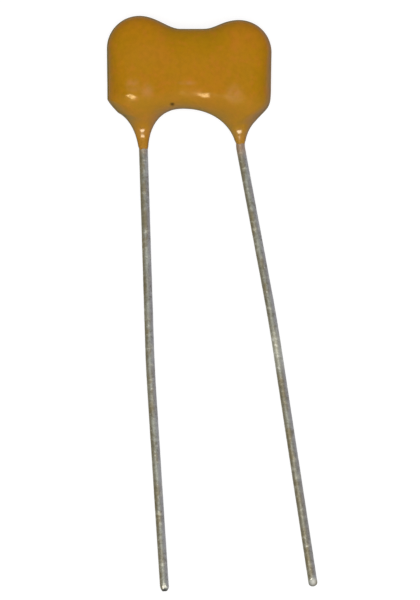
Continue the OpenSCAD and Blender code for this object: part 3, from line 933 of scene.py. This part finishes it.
# %% [markdown]
# ## Inside the coat
#
# Nobody sees the clamps, the foils and the mica unless the coat is hidden, but the part is
# made of them, so they get honest finishes too: rolled brass with a fine grain, crinkled
# soft foil, and mica that shows its leaves, plain on the covers and silvered on the plates.
# Their CAD shapes are plain sheets and are already right, so they keep their meshes, and only
# the materials are new.

# %% Brass and foil
# Noise: size in mm, detail, roughness and warp. Rolling draws the brass's grain out
BRASS_GRAIN, TARNISH, ROLLED = (0.4, 3.0, 0.6), (1.8, 3.0, 0.55), (0.2, 3, 3)
CRINKLE = (0.7, 5.0, 0.65, 0.6)
TARNISH_RANGE, BRASS_TONES = (0.4, 0.7), (srgb(208, 170, 92), srgb(166, 124, 62))
FOIL_TONES = (srgb(196, 196, 192), srgb(168, 168, 166))
# Roughness at its least, and what the noise adds. The bumps are in metres
BRASS_ROUGH, FOIL_ROUGH, NOISE_ROUGH = 0.26, 0.3, 0.2
FINE_BUMP, FOIL_BUMP = 0.00001, 0.00004


def brass_finish():
    finish = finish_of("clamp_brass")
    place = finish.place()
    grain = finish.noise(finish.squeezed(place, ROLLED), *BRASS_GRAIN)
    tarnish = finish.between(finish.noise(place, *TARNISH), *TARNISH_RANGE)
    return finish.principled({"Base Color": finish.mix(tarnish, *BRASS_TONES), "Metallic": 1.0,
                              "Roughness": BRASS_ROUGH + grain * NOISE_ROUGH,
                              "Normal": finish.bump(grain, FINE_BUMP)})


def foil_finish():
    finish = finish_of("soft_foil")
    crinkle = finish.noise(finish.place(), *CRINKLE)
    return finish.principled({"Base Color": finish.mix(crinkle, *FOIL_TONES), "Metallic": 1.0,
                              "Roughness": FOIL_ROUGH + crinkle * NOISE_ROUGH,
                              "Normal": finish.bump(crinkle, FOIL_BUMP)})


brass, foil = brass_finish(), foil_finish()
print("made", brass.name, "and", foil.name)

# %% Mica
LEAVES, LEAF_RANGE, MICA_ROUGH = (2.4, 4.0, 0.6, 1.2), (0.35, 0.65), 0.2
PLAIN_TONES = (srgb(206, 190, 150), srgb(176, 150, 104))
SILVER_TONES, SILVER_METAL = (srgb(214, 212, 206), srgb(186, 182, 172)), 0.9


def mica_finish(name, tones, metal):
    finish = finish_of(name)
    leaves = finish.noise(finish.place(), *LEAVES)
    colour = finish.mix(finish.between(leaves, *LEAF_RANGE), *tones)
    return finish.principled({"Base Color": colour, "Metallic": metal,
                              "Roughness": MICA_ROUGH + leaves * NOISE_ROUGH,
                              "Normal": finish.bump(leaves, FINE_BUMP)})


plain_mica = mica_finish("plain_mica", PLAIN_TONES, 0.0)
silvered = mica_finish("silvered_mica", SILVER_TONES, SILVER_METAL)
print("made", plain_mica.name, "and", silvered.name)

# %% Dress the inner pieces
def dress(piece, material):
    piece.data.materials.clear()
    piece.data.materials.append(material)


dressed = []
for name, node in nodes.items():
    for part, material in (("clamp", brass), ("foil", foil), ("cover", plain_mica),
                           ("plate", silvered)):
        if part in name:
            dress(node, material)
            dressed.append(name)
print("inner pieces dressed:", len(dressed))

# %% [markdown]
# ## Putting the pieces on
#
# The coat and the wires are one stiff part, so each detailed piece rides on the part's one
# body. Each stands for its plain node, which is hidden but stays in the physics, and gets a
# material of its own.

# %% Pieces on the frame
for piece, node, slot, material in ((coat, "coating", "ochre_resin", resin),
                                    (left_wire, "left_lead", "tinned_wire", left_tin),
                                    (right_wire, "right_lead", "tinned_wire", right_tin)):
    dress(piece, material)
    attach(piece, "root")
    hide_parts(node)
    print(piece.name, "stands for", node)

# %% [markdown]
# ## Floor
#
# The part lies on plain white ground, and the photograph hardly shows a shadow. More light
# would turn the ground white, but the part with it. So the floor is a grey that takes the
# shadow, and for the rays that show a background it also glows, up to white.

# %% Floor
FLOOR_SIDE = 3.0
# Size of the floor's clouds in mm, and its two tones
FLOOR_CLOUD = 60.0
FLOOR_TONES = (srgb(140, 140, 140), srgb(144, 144, 144))
FLOOR_GLOW = 0.82


def backdrop_rays(finish):
    """1 for the rays that show a backdrop: camera, glossy and transmission rays."""
    camera, glossy, clear = [finish.node("LightPath", {}, {}, "Is " + kind + " Ray")
                             for kind in ("Camera", "Glossy", "Transmission")]
    return 1 - (1 - camera) * (1 - glossy) * (1 - clear)


def floor_finish():
    finish = finish_of("white_floor")
    white = finish.mix(finish.noise(finish.place(), FLOOR_CLOUD), *FLOOR_TONES)
    plain = finish.node("BsdfPrincipled", {}, {"Base Color": white, "Roughness": 1.0,
                                               "Specular IOR Level": 0.0})
    glow = finish.node("Emission", {}, {"Strength": FLOOR_GLOW})
    both = finish.node("AddShader", {}, {0: plain, 1: glow})
    return finish.show(finish.node("MixShader", {}, {0: backdrop_rays(finish), 1: plain,
                                                     2: both}))


edge = FLOOR_SIDE / 2
floor_mesh = bpy.data.meshes.new("floor")
floor_mesh.from_pydata([(-edge, -edge, 0), (edge, -edge, 0), (edge, edge, 0), (-edge, edge, 0)],
                       [], [(0, 1, 2, 3)])
floor = bpy.data.objects.new("floor", floor_mesh)
bpy.context.scene.collection.objects.link(floor)
floor_mesh.materials.append(floor_finish())
print("floor:", FLOOR_SIDE, "m wide")

# %% [markdown]
# ## Light
#
# A large soft sky lights the part evenly, as a light tent does. A strong lamp would give both
# the tone of the face and its highlights, but the photograph's highlights are tiny and its
# tone is soft. So two lamps share the work. A broad one above lights the face and isn't seen
# in the gloss. A small one below the picture is seen only in the gloss, and gives the short
# highlights on the lobe, over the arch and on the necks.

# %% Sky
SKY_LIGHT = 0.55
bpy.context.scene.world = bpy.data.worlds.new("studio")
sky = Finish(bpy.context.scene.world)
light = sky.node("Background", {}, {"Strength": SKY_LIGHT})
backdrop = sky.node("Background", {}, {"Color": (1, 1, 1, 1)})
sky.show(sky.node("MixShader", {}, {0: backdrop_rays(sky), 1: light, 2: backdrop}),
         "OutputWorld")
print("sky nodes:", len(sky.tree.nodes))

# %% Lamps
# Height of the body's middle, in mm
BODY_MID_Y = 7.3
# Each lamp: direction from the body, distance and size in m, power in W, and colour
GLOSS_LAMP = ((-0.157, -0.682, 0.72), 0.4, 0.065, 2.1, (1.0, 0.95, 0.86))
FACE_LAMP = ((0.02, -0.17, 1.0), 0.6, 0.5, 2.4, (1, 1, 1))
body_mid = upright @ Vector((0, BODY_MID_Y * MM, 0))


def soft_lamp(name, direction, distance, size, power, colour):
    lamp = bpy.data.lights.new(name, "AREA")
    lamp.shape = "DISK"
    lamp.size, lamp.energy, lamp.color = size, power, colour
    made = bpy.data.objects.new(name, lamp)
    bpy.context.scene.collection.objects.link(made)
    away = Vector(direction).normalized()
    made.location = body_mid + away * distance
    made.rotation_mode = "QUATERNION"
    made.rotation_quaternion = away.to_track_quat("Z", "Y")
    print(name, "at", [round(v, 3) for v in made.location])
    return made


gloss_lamp = soft_lamp("gloss_lamp", *GLOSS_LAMP)
gloss_lamp.visible_diffuse = False
face_lamp = soft_lamp("face_lamp", *FACE_LAMP)
face_lamp.visible_glossy = False

# %% [markdown]
# ## Camera
#
# The camera looks straight down on the face from far off with a long lens, as the photograph
# was taken. An orthographic camera would come close too, but a lens keeps the slight
# perspective. A pixel of the photograph is a known part of a millimetre, so the picture's
# frame follows from the pixel in which the middle between the leads lies.

# %% Camera
PICTURE_W, PICTURE_H = 420, 600
# Millimetres to a pixel, and the pixel between the leads at the line where they come out
PIXEL = 0.0895
LEAD_PIXEL_X, SEATING_PIXEL_Y = 191.9, 148
# Distance in m, and the width of the sensor in mm
CAMERA_FAR = 0.5
SENSOR = 36.0
CLIP_NEAR, CLIP_FAR = 0.01, 10
camera_data = bpy.data.cameras.new("camera")
camera_data.sensor_width = SENSOR
camera_data.lens = SENSOR * CAMERA_FAR / (PICTURE_H * PIXEL * MM)
camera_data.clip_start, camera_data.clip_end = CLIP_NEAR, CLIP_FAR
camera = bpy.data.objects.new("camera", camera_data)
bpy.context.scene.collection.objects.link(camera)
view_mid = Vector(((PICTURE_W / 2 - LEAD_PIXEL_X) * PIXEL * MM,
                   (SEATING_PIXEL_Y - PICTURE_H / 2) * PIXEL * MM, CAMERA_FAR))
camera.matrix_world = upright @ Matrix.Translation(view_mid)
bpy.context.scene.camera = camera
bpy.context.scene.view_settings.view_transform = "Standard"
print("lens in mm:", round(camera_data.lens, 1))
